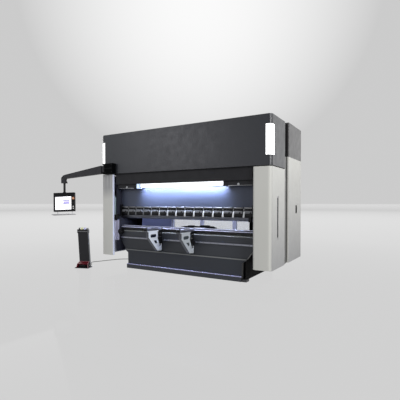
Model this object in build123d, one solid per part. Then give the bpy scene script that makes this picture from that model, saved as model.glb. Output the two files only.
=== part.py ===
from build123d import *
import os, math

# ---------------------------------------------------------------------------
# Hydraulic press brake, 3.0 m tool row, millimetres, +Z up.
# While drawing, Y is measured from the front face of the head housing;
# every piece is shifted at export so that the origin lies on the floor under
# the middle of the bending line (BEND_Y behind the front face).
# ---------------------------------------------------------------------------
BEND_Y = 250.0

# overall housing
HALF_W = 1863.0          # half width over the housings
HEAD_BOT = 1949.0        # underside of the head housing
HEAD_TOP = 2764.0
HEAD_DEPTH = 705.0
HEAD_WALL = 25.0
CORNER_R = 65.0
REAR_HALF_W = 1859.0
REAR_Y0, REAR_Y1 = 948.0, 1821.0
REAR_BOT, REAR_SPLIT, REAR_TOP = 259.0, 2180.0, 2799.0

# side doors (column covers)
DOOR_IN_X = 1540.0
DOOR_BOT, DOOR_TOP = 259.0, 1934.0
DOOR_BACK = 697.0
DOOR_WALL = 25.0
DOOR_RETURN = 42.0
DOOR_IN_R = 36.0         # smaller corner at the return beside the working space
HINGE_X, HINGE_Y = 1851.0, 708.0

# side frames (the two C plates that stand on the floor)
FRAME_IN, FRAME_OUT = 1250.0, 1306.0
THROAT_Y = 580.0
THROAT_Z0, THROAT_Z1 = 700.0, 1690.0

# bed
BED_HALF = 1505.0
BED_Y0, BED_Y1 = 195.0, 275.0
BED_TOP = 776.0
LEDGE_HALF, LEDGE_Z = 1365.0, 385.0
APRON_HALF, APRON_Z = 1285.0, 317.0
FOOT_HALF = 1277.0
APRON_Y0 = 170.0
SKIRT_Y0, SKIRT_H, SKIRT_HALF = 135.0, 88.0, 1287.0
RAIL_Z0, RAIL_Z1, RAIL_Y0 = 612.0, 640.0, 165.0
TABLE_Z0, TABLE_Z1 = 804.0, 846.0
DIE_RAIL_Z = 874.0

# ram and tools
RAM_Y0, RAM_Y1 = 232.0, 312.0
RAM_Z0, RAM_Z1 = 1130.0, 2060.0
CLAMP_N, CLAMP_PITCH, CLAMP_W = 15, 200.0, 190.0
CLAMP_Z0, CLAMP_Z1 = 1062.0, 1271.0
CLAMP_Y0 = 197.0
PUNCH_Z = 1026.0

# sheet supports
SUP_X = (-425.0, 311.0)   # right-hand face of each gusset
SUP_W = 60.0
ARM_W = 89.0

# control arm and panel
ARM_HX, ARM_HY = -1736.0, -52.0
ARM_ANG = 15.0            # rest direction, degrees forward of -X
ARM_POLE_S = 966.0
PANEL_W, PANEL_H, PANEL_T = 442.0, 407.0, 66.0
PANEL_Z = 1360.0
PANEL_NORMAL = -54.0      # azimuth of the screen's outward normal
PANEL_ROLL = 2.1          # the hanging panel sits slightly out of level
PANEL_TILT = 6.5          # its screen looks a little upward

# foot pedal station
PED_X, PED_Y = -2026.0, -391.0   # centre of the base's front edge
PED_ANG = 20.0
PED_LEAN = 3.6

os.makedirs("parts", exist_ok=True)
SHIFT = Location((0, -BEND_Y, 0))
made = []


def save(name, *shapes):
    solids = []
    for s in shapes:
        solids += list(s.solids())
    moved = [SHIFT * s for s in solids]
    obj = moved[0] if len(moved) == 1 else Compound(children=moved)
    obj.label = name
    export_step(obj, "parts/" + name + ".step")
    made.append(name)


def block(x0, x1, y0, y1, z0, z1):
    return Pos((x0 + x1) / 2, (y0 + y1) / 2, (z0 + z1) / 2) * Box(abs(x1 - x0), abs(y1 - y0), abs(z1 - z0))


def cyl_z(x, y, z0, z1, r):
    return Pos(x, y, (z0 + z1) / 2) * Cylinder(r, z1 - z0)


def cyl_y(x, z, y0, y1, r):
    return Pos(x, (y0 + y1) / 2, z) * Rot(90, 0, 0) * Cylinder(r, y1 - y0)


def cyl_x(y, z, x0, x1, r):
    return Pos((x0 + x1) / 2, y, z) * Rot(0, 90, 0) * Cylinder(r, x1 - x0)


def prism_x(points_yz, x0, x1):
    """Prism along X from an outline given as (y, z)."""
    face = make_face(Polyline(*[(x0, y, z) for y, z in points_yz], close=True))
    return extrude(face, amount=x1 - x0, dir=(1, 0, 0))


def prism_y(points_xz, y0, y1):
    """Prism along Y from an outline given as (x, z)."""
    face = make_face(Polyline(*[(x, y0, z) for x, z in points_xz], close=True))
    return extrude(face, amount=y1 - y0, dir=(0, 1, 0))


def prism_z(points_xy, z0, z1):
    face = make_face(Polyline(*[(x, y, z0) for x, y in points_xy], close=True))
    return extrude(face, amount=z1 - z0, dir=(0, 0, 1))


def mirror_x(shape):
    return mirror(shape, about=Plane.YZ)


def vertical_edges_at(shape, x, y, tol=1.0):
    out = []
    for e in shape.edges().filter_by(Axis.Z):
        c = e.center()
        if abs(c.X - x) < tol and abs(c.Y - y) < tol:
            out.append(e)
    return out


# ---------------------------------------------------------------------------
# Side frames
# ---------------------------------------------------------------------------
frame_outline = [
    (BED_Y1, 0), (BED_Y1, THROAT_Z0), (THROAT_Y, THROAT_Z0), (THROAT_Y, THROAT_Z1),
    (352, THROAT_Z1), (352, 2690), (925, 2690), (925, REAR_SPLIT), (1700, REAR_SPLIT), (1700, 0),
]
frame_r = prism_x(frame_outline, FRAME_IN, FRAME_OUT)
frame_r = frame_r + block(1268, 1288, 321, 352, THROAT_Z1, 2300)
save("side_frames", frame_r, mirror_x(frame_r))

# ---------------------------------------------------------------------------
# Bed
# ---------------------------------------------------------------------------
bed_pts = [
    (-BED_HALF, BED_TOP), (-BED_HALF, 575), (-LEDGE_HALF, LEDGE_Z), (-APRON_HALF, APRON_Z), (-FOOT_HALF, 0),
    (FOOT_HALF, 0), (APRON_HALF, APRON_Z), (LEDGE_HALF, LEDGE_Z), (BED_HALF, 575), (BED_HALF, BED_TOP),
]
bed = prism_y(bed_pts, BED_Y0, BED_Y1)
top_front = [e for e in bed.edges().filter_by(Axis.X) if abs(e.center().Y - BED_Y0) < 1 and abs(e.center().Z - BED_TOP) < 1]
bed = chamfer(top_front, 20)
save("bed_plate", bed)

apron_pts = [
    (-LEDGE_HALF, LEDGE_Z), (-LEDGE_HALF, 371), (-APRON_HALF, APRON_Z), (-FOOT_HALF, 0),
    (FOOT_HALF, 0), (APRON_HALF, APRON_Z), (LEDGE_HALF, 371), (LEDGE_HALF, LEDGE_Z),
]
save("lower_apron", prism_y(apron_pts, APRON_Y0, BED_Y0))
skirt = block(-SKIRT_HALF, SKIRT_HALF, SKIRT_Y0, APRON_Y0, 0, SKIRT_H)
save("toe_strip", skirt)
# the right front foot shows beside the skirt, the left one stands farther back
feet = [block(FOOT_HALF + 14, 1375, 150, 270, 0, 42), block(-1395, -FRAME_OUT, 290, 410, 0, 42), block(FRAME_OUT, 1395, 1540, 1680, 0, 42)]
save("levelling_feet", feet[0], feet[1], feet[2], mirror_x(feet[2]))
save("front_slide_rail", block(-1490, 1490, RAIL_Y0, BED_Y0, RAIL_Z0, RAIL_Z1))
save("table_top", block(-1500, 1500, 203, 330, TABLE_Z0, TABLE_Z1) + block(-1495, 1495, 218, 268, BED_TOP, TABLE_Z0))
die_rail = block(-1495, 1495, 226, 300, TABLE_Z1, DIE_RAIL_Z) - block(-1496, 1496, 254, 266, DIE_RAIL_Z - 14, DIE_RAIL_Z + 1)
save("die_rail", die_rail)
save("crowning_motor", cyl_y(-1456, 741, 108, BED_Y0, 40))

# rear base beams between the frames
save("rear_base_beam", block(-FRAME_IN, FRAME_IN, 1560, 1700, 0, 180), block(-FRAME_IN, FRAME_IN, 700, 760, 60, 240))

# ---------------------------------------------------------------------------
# Head housing and rear housings
# ---------------------------------------------------------------------------
outer = block(-HALF_W, HALF_W, 0, HEAD_DEPTH, HEAD_BOT, HEAD_TOP)
corners = vertical_edges_at(outer, HALF_W, 0) + vertical_edges_at(outer, -HALF_W, 0)
outer = fillet(corners, CORNER_R)
inner = block(-HALF_W + HEAD_WALL, HALF_W - HEAD_WALL, HEAD_WALL, HEAD_DEPTH + 1, HEAD_BOT - 1, HEAD_TOP - HEAD_WALL)
ic = vertical_edges_at(inner, HALF_W - HEAD_WALL, HEAD_WALL) + vertical_edges_at(inner, -HALF_W + HEAD_WALL, HEAD_WALL)
inner = fillet(ic, CORNER_R - HEAD_WALL)
head = outer - inner

# recess for the wrap-round light bars in the two front corners
BAR_Z0, BAR_Z1, BAR_FRONT, BAR_SIDE, BAR_T = 2116.0, 2603.0, 99.0, 130.0, 8.0


def corner_band(sgn, z0, z1, thick, front, side):
    o = block(HALF_W - front, HALF_W, 0, side, z0, z1)
    o = fillet(vertical_edges_at(o, HALF_W, 0), CORNER_R)
    i = block(HALF_W - front - 1, HALF_W - thick, thick, side + 1, z0 - 1, z1 + 1)
    i = fillet(vertical_edges_at(i, HALF_W - thick, thick), CORNER_R - thick)
    b = o - i
    return b if sgn > 0 else mirror_x(b)


for sgn in (1, -1):
    head = head - corner_band(sgn, BAR_Z0, BAR_Z1, BAR_T, BAR_FRONT, BAR_SIDE)
save("head_housing", head)
save("corner_light_bars", corner_band(1, BAR_Z0, BAR_Z1, BAR_T, BAR_FRONT, BAR_SIDE),
     corner_band(-1, BAR_Z0, BAR_Z1, BAR_T, BAR_FRONT, BAR_SIDE))

# recessed lower fascia under the head, hung from the head by its top flange
fascia = block(-1512, 1512, 60, 84, 1728, HEAD_BOT) + block(-1512, 1512, 25, 84, HEAD_BOT, HEAD_BOT + 24)
# it carries a strip that holds the work light and a closed box at each end of it
end_box = block(1050, 1500, 100, 186, 1640, 1728)
fascia = fascia + block(-1512, 1512, 84, 186, 1728, 1746) + end_box + mirror_x(end_box)
save("lower_fascia", fascia)

# work light and its end boxes
LAMP_HALF = 1045.0
save("work_light", block(-LAMP_HALF, LAMP_HALF, 110, 186, 1655, 1728))

# filler pieces between front covers and rear housings
filler = block(FRAME_OUT, 1845, 725, 838, 264, 2165)
save("side_fillers", filler, mirror_x(filler))
gap_low = block(FRAME_OUT, 1828, 838, REAR_Y0, 264, 2165)
gap_up = block(FRAME_OUT, 1822, HEAD_DEPTH, REAR_Y0, 2165, 2770)
gap = gap_low + gap_up
save("rear_gap_cover", gap + mirror_x(gap) + block(-FRAME_OUT, FRAME_OUT, HEAD_DEPTH, REAR_Y0, 2739, 2770))

# fixed inner guard plates beside the working space
inner_plate = block(1514, 1534, 84, 725, 338, HEAD_BOT)
save("inner_guard_plates", inner_plate, mirror_x(inner_plate))

# rear cabinets (closed housings) and the rear upper housing
cab = block(FRAME_OUT, REAR_HALF_W, REAR_Y0, REAR_Y1, REAR_BOT, REAR_SPLIT)
cab = fillet(vertical_edges_at(cab, REAR_HALF_W, REAR_Y1) + vertical_edges_at(cab, REAR_HALF_W, REAR_Y0), 12)
cab = cab - block(REAR_HALF_W - 14, REAR_HALF_W + 1, 1421, 1516, 1144, 1300)
save("rear_cabinets", cab, mirror_x(cab))
rear_up = block(-REAR_HALF_W, REAR_HALF_W, REAR_Y0, REAR_Y1, REAR_SPLIT, REAR_TOP)
ve = []
for sx in (1, -1):
    ve += vertical_edges_at(rear_up, sx * REAR_HALF_W, REAR_Y1) + vertical_edges_at(rear_up, sx * REAR_HALF_W, REAR_Y0)
rear_up = fillet(ve, 12)
save("rear_upper_housing", rear_up)

# rear guard: four posts, two rails, three clear panels
GY0, GY1 = 1735.0, 1785.0
POSTS = (-1258.0, -419.0, 419.0, 1258.0)
guard = block(-1298, 1298, GY0, GY1, 120, 200) + block(-1298, 1298, GY0, GY1, 2090, REAR_SPLIT)
for px in POSTS:
    guard = guard + block(px - 40, px + 40, GY0, GY1, 120, REAR_SPLIT)
guard = guard + block(-1298, -1258, 1700, GY0, 120, 200) + block(1258, 1298, 1700, GY0, 120, 200)
save("rear_guard_frame", guard)
panes = [block(POSTS[i] + 40, POSTS[i + 1] - 40, 1755, 1763, 200, 2090) for i in range(3)]
save("rear_guard_windows", *panes)

# ---------------------------------------------------------------------------
# Ram, clamps and punch (one moving body)
# ---------------------------------------------------------------------------
ram = block(-BED_HALF, BED_HALF, RAM_Y0, RAM_Y1, RAM_Z0, RAM_Z1)
# tool holder under the plate, and a carriage for each guide rail behind it
ram = ram + block(-1495, 1495, RAM_Y0, 285, CLAMP_Z0, RAM_Z0)
car_r = block(1243, 1313, RAM_Y1, 327, 1850, 2050) - block(1263, 1293, 316, 328, 1849, 2051)
ram = ram + car_r + mirror_x(car_r)
save("ram_plate", ram)
clamps = []
for i in range(CLAMP_N):
    xc = (i - (CLAMP_N - 1) / 2) * CLAMP_PITCH
    prof = [(RAM_Y0, CLAMP_Z0), (RAM_Y0, CLAMP_Z1), (CLAMP_Y0 + 8, CLAMP_Z1), (CLAMP_Y0, CLAMP_Z1 - 8),
            (CLAMP_Y0, CLAMP_Z1 - 26), (CLAMP_Y0 + 16, CLAMP_Z1 - 40), (CLAMP_Y0 + 16, CLAMP_Z1 - 72),
            (CLAMP_Y0, CLAMP_Z1 - 92), (CLAMP_Y0, CLAMP_Z0 + 40), (CLAMP_Y0 + 14, CLAMP_Z0)]
    clamps.append(prism_x(prof, xc - CLAMP_W / 2, xc + CLAMP_W / 2))
save("tool_clamps", *clamps)
punch = prism_x([(222, CLAMP_Z0), (278, CLAMP_Z0), (278, CLAMP_Z0 - 14), (254, PUNCH_Z), (246, PUNCH_Z), (222, CLAMP_Z0 - 14)], -1492, 1492)
save("punch_rail", punch)
# cylinders inside the head, carried by cross heads between the frames
cyl_b = []
rods = []
for sx in (-1, 1):
    cb = cyl_z(sx * 1090, 272, 2150, 2560, 95) - cyl_z(sx * 1090, 272, 2149, 2520, 55)
    cb = cb + block(sx * 1090 - 158, sx * 1090 + 158, 352, 420, 2200, 2500) + block(sx * 1090 - 60, sx * 1090 + 60, 340, 360, 2200, 2500)
    cb = cb - cyl_z(sx * 1090, 272, 2149, 2520, 55)
    cyl_b.append(cb)
    rods.append(cyl_z(sx * 1090, 272, RAM_Z1, 2330, 38) + cyl_z(sx * 1090, 272, 2330, 2360, 52))
save("cylinder_beam", cyl_b[0] + cyl_b[1] + block(-FRAME_IN, FRAME_IN, 420, 500, 2180, 2520))
save("ram_rods", *rods)
# small safety laser heads on both ends of the ram
lg = []
for sx in (-1, 1):
    x0, x1 = sorted((sx * 1455, sx * 1500))
    g = block(x0, x1, 40, 90, 1030, 1110) + block(x0 + 12, x1 - 12, 90, CLAMP_Y0 - 8, 1075, 1100) \
        + block(x0 + 12, x1 - 12, CLAMP_Y0 - 28, CLAMP_Y0 - 8, 1100, 1300) + block(x0 + 12, x1 - 12, CLAMP_Y0 - 28, RAM_Y0, 1282, 1310)
    lg.append(g)
save("laser_guards", *lg)

# ---------------------------------------------------------------------------
# Back gauge
# ---------------------------------------------------------------------------
rails = []
for sx in (-1, 1):
    r = block(sx * 1000 - 35, sx * 1000 + 35, BED_Y1, 1560, 560, 640) + block(sx * 1000 - 60, sx * 1000 + 60, 1560, 1640, 180, 640)
    rails.append(r)
save("gauge_rails", *rails)
save("gauge_beam", block(-1150, 1150, 760, 850, 700, 790) + block(-1050, -950, 740, 870, 645, 700) + block(950, 1050, 740, 870, 645, 700))
fing = []
for xc in (-80.0, 420.0):
    f = block(xc - 70, xc + 70, 700, 860, 790, 830) + block(xc - 30, xc + 30, 520, 720, 830, 858) \
        + block(xc - 30, xc + 30, 700, 760, 830, 858) + block(xc - 45, xc + 45, 505, 540, 838, 884)
    fing.append(f)
save("gauge_fingers", *fing)

# ---------------------------------------------------------------------------
# Side doors (column covers) on rear-edge hinges
# ---------------------------------------------------------------------------
d_out = block(DOOR_IN_X, HALF_W, 0, DOOR_BACK, DOOR_BOT, DOOR_TOP)
d_out = fillet(vertical_edges_at(d_out, HALF_W, 0), CORNER_R)
d_out = fillet(vertical_edges_at(d_out, DOOR_IN_X, 0), DOOR_IN_R)
d_in = block(DOOR_IN_X + DOOR_WALL, HALF_W - DOOR_WALL, DOOR_WALL, DOOR_BACK + 1, DOOR_BOT - 1, DOOR_TOP - DOOR_WALL)
d_in = fillet(vertical_edges_at(d_in, HALF_W - DOOR_WALL, DOOR_WALL), CORNER_R - DOOR_WALL)
d_in = fillet(vertical_edges_at(d_in, DOOR_IN_X + DOOR_WALL, DOOR_WALL), DOOR_IN_R - DOOR_WALL)
door = d_out - d_in - block(DOOR_IN_X - 1, HALF_W - DOOR_WALL, DOOR_RETURN, DOOR_BACK + 1, DOOR_BOT - 1, DOOR_TOP + 1)
# long grip slot in the outer face
SLOT = (270.0, 360.0, 748.0, 1458.0)
door = door - block(HALF_W - 12, HALF_W + 1, SLOT[0], SLOT[1], SLOT[2], SLOT[3])
for kz in (420, 1080, 1740):
    door = door + cyl_z(HINGE_X, HINGE_Y, kz, kz + 90, 11) + block(1842, 1860, 690, 704, kz, kz + 90)
for kz in (420, 1080, 1740):
    door = door - cyl_z(HINGE_X, HINGE_Y, kz - 1, kz + 91, 6.4)
save("side_door_right", door)
save("side_door_left", mirror_x(door))
hinges = []
for kz in (420, 1080, 1740):
    h = cyl_z(HINGE_X, HINGE_Y, kz - 36, kz + 126, 6.0)
    h = h + cyl_z(HINGE_X, HINGE_Y, kz - 36, kz - 6, 11) + cyl_z(HINGE_X, HINGE_Y, kz + 96, kz + 126, 11)
    h = h + block(1835, 1845, HINGE_Y, 725, kz - 36, kz - 6) + block(1835, HINGE_X, HINGE_Y - 6, HINGE_Y + 6, kz - 36, kz - 6)
    h = h + block(1835, 1845, HINGE_Y, 725, kz + 96, kz + 126) + block(1835, HINGE_X, HINGE_Y - 6, HINGE_Y + 6, kz + 96, kz + 126)
    hinges.append(h)
save("door_hinges", *(hinges + [mirror_x(h) for h in hinges]))

# ---------------------------------------------------------------------------
# Sheet supports: one outline, two places
# ---------------------------------------------------------------------------
GUS = [(-222, 802), (-222, 701), (34, 437), (48, 426), (160, 418), (174, 418), (186, 430), (186, 550), (106, 550), (57, 660), (57, 802)]


def support(x_right):
    xl = x_right - SUP_W
    g = prism_x(GUS, xl, x_right)
    hole1 = block(xl - 1, x_right + 1, -160, 8, 690, 752)
    hole1 = fillet(hole1.edges().filter_by(Axis.X), 24)
    hole2 = prism_x([(-70, 630), (16, 630), (42, 578), (4, 560)], xl - 1, x_right + 1)
    g = g - hole1 - hole2
    flange = block(x_right - ARM_W, x_right, -254, 82, 802, 820)
    g = g + flange
    arm = block(x_right - ARM_W, x_right, -270, 185, 820, 866)
    slot = block(x_right - ARM_W / 2 - 7, x_right - ARM_W / 2 + 7, -271, 186, 852, 867)
    arm = arm - slot
    car = block(x_right - ARM_W, x_right, 57, 187, 552, 802) - block(x_right - ARM_W - 1, x_right + 1, 159, 188, RAIL_Z0 - 5, RAIL_Z1 + 5)
    car = car - prism_x([(57, 660), (106, 550), (106, 540), (40, 540), (40, 660)], xl, x_right)
    roller = cyl_z(x_right - 30, 166, 391, 412, 22) + cyl_z(x_right - 30, 160, 404, 418, 8)
    return g, arm, car, roller


for nm, xr in (("left", SUP_X[0]), ("right", SUP_X[1])):
    g, arm, car, roller = support(xr)
    save("support_gusset_" + nm, g)
    save("support_arm_" + nm, arm)
    save("support_carriage_" + nm, car, roller)

# ---------------------------------------------------------------------------
# Control arm and panel
# ---------------------------------------------------------------------------
BR_X0, BR_X1 = -1720.0, -1460.0
bracket = block(BR_X0, BR_X1, -98, 0, 1952, 2155)
bracket = bracket + block(ARM_HX, BR_X0 + 5, ARM_HY - 30, ARM_HY + 30, 1952, 1972) + cyl_z(ARM_HX, ARM_HY, 1952, 1972, 34)
bracket = bracket + block(ARM_HX, BR_X0 + 5, ARM_HY - 30, ARM_HY + 30, 2135, 2155) + cyl_z(ARM_HX, ARM_HY, 2135, 2155, 34)
bracket = bracket + cyl_z(ARM_HX, ARM_HY, 1960, 2150, 12)
bracket = bracket - block(BR_X0 - 1, BR_X0 + 34, -99, ARM_HY + 40, 1972, 2135)
bracket = bracket + cyl_z(ARM_HX, ARM_HY, 1960, 2150, 12)
save("arm_bracket", bracket)

ARM_HALF = 42.0
arm_pts = [(52, 2119), (905, 1953), (964, 1937), (1019, 1885), (1019, 1767), (914, 1767), (928, 1800), (943, 1834), (929, 1865), (52, 1951)]
arm_face = make_face(Polyline(*[(s, 0, z) for s, z in arm_pts], close=True))
arm = extrude(arm_face, amount=ARM_HALF, dir=(0, 1, 0)) + extrude(arm_face, amount=ARM_HALF, dir=(0, -1, 0))
arm = arm + cyl_z(0, 0, 1978, 2129, 26) + block(0, 60, -22, 22, 1990, 2105)
arm = arm - cyl_z(0, 0, 1970, 2140, 12.4)
arm = arm - cyl_z(ARM_POLE_S, 0, 1700, 1816, 19)
arm_loc = Location((ARM_HX, ARM_HY, 0), (0, 0, 180 + ARM_ANG))
save("control_arm", arm_loc * arm)

ar = math.radians(180 + ARM_ANG)
POLE_X = ARM_HX + ARM_POLE_S * math.cos(ar)
POLE_Y = ARM_HY + ARM_POLE_S * math.sin(ar)
# local panel frame: x = screen's right as seen by the operator, y = into the housing, z = up
panel_rot = Location((POLE_X, POLE_Y, 0), (0, 0, PANEL_NORMAL + 90))
roll = Location((0, 0, PANEL_Z)) * Location((0, 0, 0), (-PANEL_TILT, 0, 0)) * Location((0, 0, 0), (0, -PANEL_ROLL, 0)) * Location((0, 0, -PANEL_Z))
PX = PANEL_W / 2
body = block(-PX, PX, -PANEL_T / 2, PANEL_T / 2, PANEL_Z - PANEL_H / 2, PANEL_Z + PANEL_H / 2)
body = fillet(body.edges().filter_by(Axis.Y), 8)
SCR = (-186.0, 147.0, -165.0, 118.0)
body = body - block(SCR[0], SCR[1], -PANEL_T / 2 - 1, -PANEL_T / 2 + 4, PANEL_Z + SCR[2], PANEL_Z + SCR[3])
save("panel_housing", panel_rot * roll * body)
screen = block(SCR[0] + 1, SCR[1] - 1, -PANEL_T / 2 + 1, -PANEL_T / 2 + 4, PANEL_Z + SCR[2] + 1, PANEL_Z + SCR[3] - 1)
save("panel_screen", panel_rot * roll * screen)
pole = cyl_z(0, 0, PANEL_Z + PANEL_H / 2 + 6, 1804, 17) + cyl_z(0, 0, PANEL_Z + PANEL_H / 2 - 4, 1760, 23)
pole = pole + cyl_z(0, 0, PANEL_Z + PANEL_H / 2 - 8, PANEL_Z + PANEL_H / 2 + 14, 34)
pole = pole - roll * block(-200, 200, -200, 200, PANEL_Z, PANEL_Z + PANEL_H / 2)
save("panel_pole", panel_rot * pole)
BX = 186.0
btn = []
fy = -PANEL_T / 2
btn.append(cyl_y(BX, PANEL_Z + 79, fy - 24, fy, 14) + cyl_y(BX, PANEL_Z + 79, fy - 36, fy - 20, 26))
for bz, br in ((-24, 15), (-92, 14), (-134, 14)):
    btn.append(cyl_y(BX, PANEL_Z + bz, fy - 10, fy, br))
save("panel_buttons", *[panel_rot * roll * b for b in btn])
zt = PANEL_Z - PANEL_H / 2 - 70
tray = block(-PX - 8, PX + 8, -PANEL_T / 2 - 96, PANEL_T / 2, zt - 4, zt + 4) + block(-PX - 8, PX + 8, -PANEL_T / 2 - 104, -PANEL_T / 2 - 96, zt - 4, zt + 12)
for sx in (-1, 1):
    tray = tray + cyl_z(sx * 150, PANEL_T / 2 - 12, zt, PANEL_Z - PANEL_H / 2, 6)
save("panel_tray", panel_rot * roll * tray)

# ---------------------------------------------------------------------------
# Foot pedal station
# ---------------------------------------------------------------------------
ped_loc = Location((PED_X, PED_Y, 0), (0, 0, PED_ANG))
base = block(-165, 134, 60, 172, 0, 22)
toe = block(-165, 134, 0, 60, 0, 12)
ped_base = base + toe
for sx in (-1, 1):
    x0, x1 = sorted((sx * 98, sx * 108))
    ped_base = ped_base + block(x0, x1, 78, 102, 22, 70)
ped_base = ped_base - cyl_x(90, 56, -109, 109, 9.08)
save("pedal_base", ped_loc * ped_base)
PW, PD0, PD1, PTOP = 112.0, 112.0, 162.0, 715.0
lean = math.tan(math.radians(PED_LEAN))
post_pts = [(-PW, 22), (PW, 22), (PW - lean * (PTOP - 22), PTOP), (-PW - lean * (PTOP - 22), PTOP)]
post = prism_y(post_pts, PD0, PD1)
save("pedal_post", ped_loc * post)
dx = -lean * (PTOP - 22)
cap = block(dx - 122, dx + 114, 104, 172, PTOP, 792)
cap = chamfer(cap.edges().filter_by(Axis.X).group_by(Axis.Z)[-1], 6)
save("pedal_station_cap", ped_loc * cap)
bts = [cyl_z(dx - 88, 134, 792, 826, 16), cyl_z(dx - 32, 138, 792, 806, 31) + cyl_z(dx - 32, 138, 806, 830, 26),
       cyl_z(dx + 38, 138, 792, 808, 30) + cyl_z(dx + 38, 138, 808, 836, 20), block(dx + 78, dx + 106, 118, 158, 792, 822)]
save("station_buttons", *[ped_loc * b for b in bts])
# hood over the pedal: two cheeks and a sloping roof, open to the front
roof_o = prism_x([(0, 12), (14, 88), (96, 128), (112, 130), (112, 12)], -140, 140)
roof_i = prism_x([(-30, 12), (-30, 80), (14, 80), (94, 118), (102, 118), (102, 12)], -140, 140)
# seen from the front its cheeks lean in toward the roof
lean_o = prism_y([(-132, 12), (132, 12), (110, 130), (-110, 130)], -41, 141)
lean_i = prism_y([(-122, 11), (122, 11), (100, 131), (-100, 131)], -41, 141)
hood = (roof_o & lean_o) - (roof_i & lean_i)
hood = hood - block(-141, 141, 60, 113, 0, 22)
save("pedal_hood", ped_loc * hood)
pedal = prism_x([(30, 44), (84, 50), (96, 50), (96, 62), (82, 62), (30, 54)], -72, 72) + cyl_x(90, 56, -106, 106, 9)
save("foot_pedal", ped_loc * pedal)

# ---------------------------------------------------------------------------
# Pedal cable on the floor
# ---------------------------------------------------------------------------
CAB_R, CAB_Z = 6.0, 6.5


def ped_xy(a, b):
    c, s = math.cos(math.radians(PED_ANG)), math.sin(math.radians(PED_ANG))
    return (PED_X + a * c - b * s, PED_Y + a * s + b * c)


g0 = ped_xy(30, 172)
g1 = ped_xy(30, 200)
route = [g1, ped_xy(34, 290), (-2200, 20), (-2318, 118), (-2398, 186), (-2404, 272), (-2352, 356), (-2318, 462), (-2276, 566),
         (-2232, 668), (-2196, 774), (-2120, 866), (-2026, 938), (-1916, 996), (-1812, 1068), (-1712, 1148), (-1604, 1214),
         (-1498, 1284), (-1420, 1338), (-1340, 1338)]
pts = [(x, y, CAB_Z) for x, y in route]


def fillet_radii(points):
    out = []
    for i in range(1, len(points) - 1):
        a = Vector(*points[i]) - Vector(*points[i - 1])
        b = Vector(*points[i + 1]) - Vector(*points[i])
        turn = math.radians(a.get_angle(b))
        out.append(0.45 * min(a.length, b.length) / math.tan(turn / 2))
    return out


radii = fillet_radii(pts)
print("cable radii", [round(r) for r in radii])
print("cable runs", [round((Vector(*pts[i + 1]) - Vector(*pts[i])).length) for i in range(len(pts) - 1)])
path = FilletPolyline(*pts, radius=radii)
d0 = (Vector(*pts[1]) - Vector(*pts[0])).normalized()
sec = Plane(origin=pts[0], z_dir=d0) * Circle(CAB_R)
cable = sweep(sec, path=path)
print("cable length", round(path.length, 1), "volume ratio", round(cable.volume / (math.pi * CAB_R ** 2 * path.length), 4))
save("pedal_cable", cable)
cdir = math.degrees(math.atan2(pts[1][1] - pts[0][1], pts[1][0] - pts[0][0]))
gl = Location((g1[0], g1[1], 10.5), (0, 0, cdir)) * (Pos(-19, 0, 0) * Rot(0, 90, 0) * Cylinder(9.5, 38))
gl = gl - (ped_loc * base)
save("cable_glands", gl, block(-1340, -FRAME_OUT, 1310, 1366, 0, 46))

print(len(made), "nodes")
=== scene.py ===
import bpy, bmesh, math
from mathutils import Matrix, Vector


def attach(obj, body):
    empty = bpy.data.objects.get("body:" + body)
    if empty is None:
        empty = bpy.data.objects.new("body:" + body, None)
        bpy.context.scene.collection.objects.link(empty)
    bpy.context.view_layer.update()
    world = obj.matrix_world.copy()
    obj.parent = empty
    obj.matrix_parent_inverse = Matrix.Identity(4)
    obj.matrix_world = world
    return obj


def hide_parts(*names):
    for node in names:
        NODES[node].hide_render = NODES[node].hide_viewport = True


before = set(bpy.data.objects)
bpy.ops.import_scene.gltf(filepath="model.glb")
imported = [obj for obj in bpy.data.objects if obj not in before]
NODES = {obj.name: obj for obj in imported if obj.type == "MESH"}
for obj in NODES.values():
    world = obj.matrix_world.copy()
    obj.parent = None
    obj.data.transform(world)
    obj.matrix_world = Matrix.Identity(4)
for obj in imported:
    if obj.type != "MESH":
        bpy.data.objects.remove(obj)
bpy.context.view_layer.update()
scene = bpy.context.scene

# ---------------------------------------------------------------------------
# Camera
# ---------------------------------------------------------------------------
cam_data = bpy.data.cameras.new("camera")
cam = bpy.data.objects.new("camera", cam_data)
scene.collection.objects.link(cam)
cam.location = (3.6452, -5.5120, 1.3541)
cam.rotation_euler = (math.radians(90 - 0.854), 0.0, math.radians(30.437))
cam_data.sensor_width = 36.0
cam_data.lens = 345.189 * 36.0 / 400.0
cam_data.shift_y = 7.586 / 400.0
cam_data.clip_start, cam_data.clip_end = 0.05, 300
scene.camera = cam


# ---------------------------------------------------------------------------
# Colour and material helpers
# ---------------------------------------------------------------------------
def lin(c):
    c = c / 255.0
    return c / 12.92 if c <= 0.04045 else ((c + 0.055) / 1.055) ** 2.4


def rgb(r, g, b, a=1.0):
    return (lin(r), lin(g), lin(b), a)


def nodes_of(m):
    m.use_nodes = True
    nt = m.node_tree
    return nt, nt.nodes["Principled BSDF"]


def coords(nt, scale=(1, 1, 1)):
    tc = nt.nodes.new("ShaderNodeTexCoord")
    mp = nt.nodes.new("ShaderNodeMapping")
    mp.inputs["Scale"].default_value = scale
    nt.links.new(tc.outputs["Object"], mp.inputs["Vector"])
    return mp.outputs["Vector"]


def noise(nt, vec, scale, detail=3.0, rough=0.5):
    n = nt.nodes.new("ShaderNodeTexNoise")
    n.inputs["Scale"].default_value = scale
    n.inputs["Detail"].default_value = detail
    n.inputs["Roughness"].default_value = rough
    nt.links.new(vec, n.inputs["Vector"])
    return n.outputs["Fac"]


def vary(nt, fac, a, b):
    mx = nt.nodes.new("ShaderNodeMix")
    mx.data_type = "RGBA"
    mx.inputs["A"].default_value = a
    mx.inputs["B"].default_value = b
    nt.links.new(fac, mx.inputs["Factor"])
    return mx.outputs["Result"]


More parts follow.
